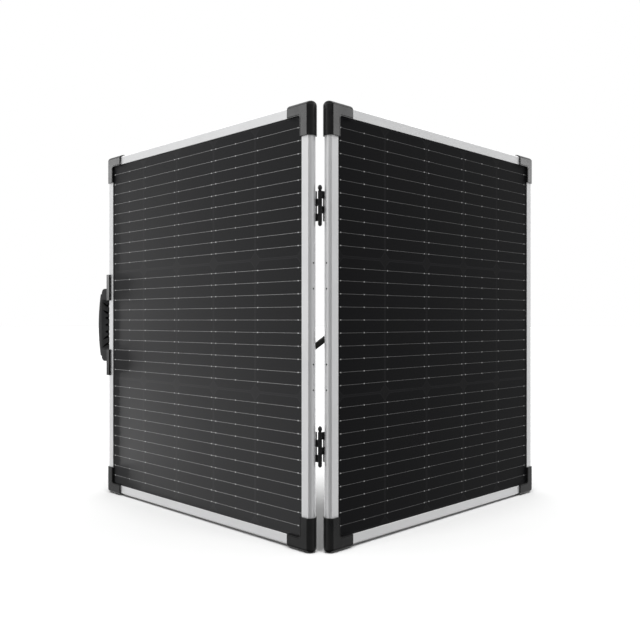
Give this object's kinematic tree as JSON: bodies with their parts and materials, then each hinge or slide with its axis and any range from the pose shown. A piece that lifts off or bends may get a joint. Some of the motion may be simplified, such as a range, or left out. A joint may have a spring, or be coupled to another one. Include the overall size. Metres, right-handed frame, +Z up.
{
  "type": "folding solar panel",
  "caption": "Folding two-panel solar module: framed glass panels hinged along one side, with corner guards, carry handle, rear legs and a link lead.",
  "frame": {"origin": "middle of the footprint, on the ground", "axes": "+Z up; the fold opens towards -Y, with the cells on the outside; +X to the right as seen from the fold"},
  "size_m": [0.7688, 0.3938, 0.5873],
  "materials": {
    "anodised_aluminium": "satin clear anodised extrusion",
    "solar_glass": "tempered low-iron glass with a faint matt texture",
    "solar_cells": "near-black monocrystalline cells under clear film, thin tinned wires",
    "backsheet": "black laminated film",
    "black_plastic": "moulded nylon, fine spark texture",
    "grip_plastic": "soft-touch moulded grip",
    "black_steel": "black powder coat",
    "stainless_steel": "plain stainless",
    "rubber": "matt rubber",
    "cable_jacket": "matt cross-linked jacket"
  },
  "bodies": {
    "left_panel": {"handle_grip": "grip_plastic", "handle_lower_cap": "black_plastic", "handle_upper_cap": "black_plastic", "left_backsheet": "backsheet", "left_bottom_inner_guard": "black_plastic", "left_bottom_outer_guard": "black_plastic", "left_bottom_rail": "anodised_aluminium", "left_bypass_diode_block": "black_plastic", "left_cell_layer": "solar_cells", "left_glass": "solar_glass", "left_inner_leg_bolt": "stainless_steel", "left_inner_stile": "anodised_aluminium", "left_junction_box": "black_plastic", "left_junction_box_lid": "black_plastic", "left_link_gland": "black_plastic", "left_outer_leg_bolt": "stainless_steel", "left_outer_stile": "anodised_aluminium", "left_top_inner_guard": "black_plastic", "left_top_outer_guard": "black_plastic", "left_top_rail": "anodised_aluminium", "link_cable": "cable_jacket", "lower_hinge_left_leaf": "black_steel", "lower_hinge_pin": "black_steel", "upper_hinge_left_leaf": "black_steel", "upper_hinge_pin": "black_steel"},
    "right_panel": {"lower_hinge_right_leaf": "black_steel", "right_backsheet": "backsheet", "right_bottom_inner_guard": "black_plastic", "right_bottom_outer_guard": "black_plastic", "right_bottom_rail": "anodised_aluminium", "right_bypass_diode_block": "black_plastic", "right_cell_layer": "solar_cells", "right_glass": "solar_glass", "right_inner_leg_bolt": "stainless_steel", "right_inner_stile": "anodised_aluminium", "right_junction_box": "black_plastic", "right_junction_box_lid": "black_plastic", "right_link_gland": "black_plastic", "right_outer_leg_bolt": "stainless_steel", "right_outer_stile": "anodised_aluminium", "right_output_gland": "black_plastic", "right_top_inner_guard": "black_plastic", "right_top_outer_guard": "black_plastic", "right_top_rail": "anodised_aluminium", "upper_hinge_right_leaf": "black_steel"},
    "left_inner_leg": {"left_inner_leg": "anodised_aluminium", "left_inner_leg_foot": "rubber"},
    "left_outer_leg": {"left_outer_leg": "anodised_aluminium", "left_outer_leg_foot": "rubber"},
    "right_inner_leg": {"right_inner_leg": "anodised_aluminium", "right_inner_leg_foot": "rubber"},
    "right_outer_leg": {"right_outer_leg": "anodised_aluminium", "right_outer_leg_foot": "rubber"}
  },
  "joints": [
    {"name": "fold", "type": "hinge", "parent": "left_panel", "child": "right_panel", "pos_m": [0.01255, -0.1878, 0.29363], "axis": [0, 0, -1], "range_deg": [-90, 90], "deforming": ["link_cable"]},
    {"name": "left_inner_leg_swing", "type": "hinge", "parent": "left_panel", "child": "left_inner_leg", "pos_m": [-0.01422, -0.16974, 0.22193], "axis": [0.7071, -0.7071, 0], "range_deg": [0, 85]},
    {"name": "left_outer_leg_swing", "type": "hinge", "parent": "left_panel", "child": "left_outer_leg", "pos_m": [-0.3322, 0.14825, 0.22193], "axis": [0.7071, -0.7071, 0], "range_deg": [0, 85]},
    {"name": "right_inner_leg_swing", "type": "hinge", "parent": "right_panel", "child": "right_inner_leg", "pos_m": [0.03931, -0.16974, 0.22193], "axis": [0.7071, 0.7071, 0], "range_deg": [0, 85]},
    {"name": "right_outer_leg_swing", "type": "hinge", "parent": "right_panel", "child": "right_outer_leg", "pos_m": [0.3573, 0.14825, 0.22193], "axis": [0.7071, 0.7071, 0], "range_deg": [0, 85]}
  ]
}
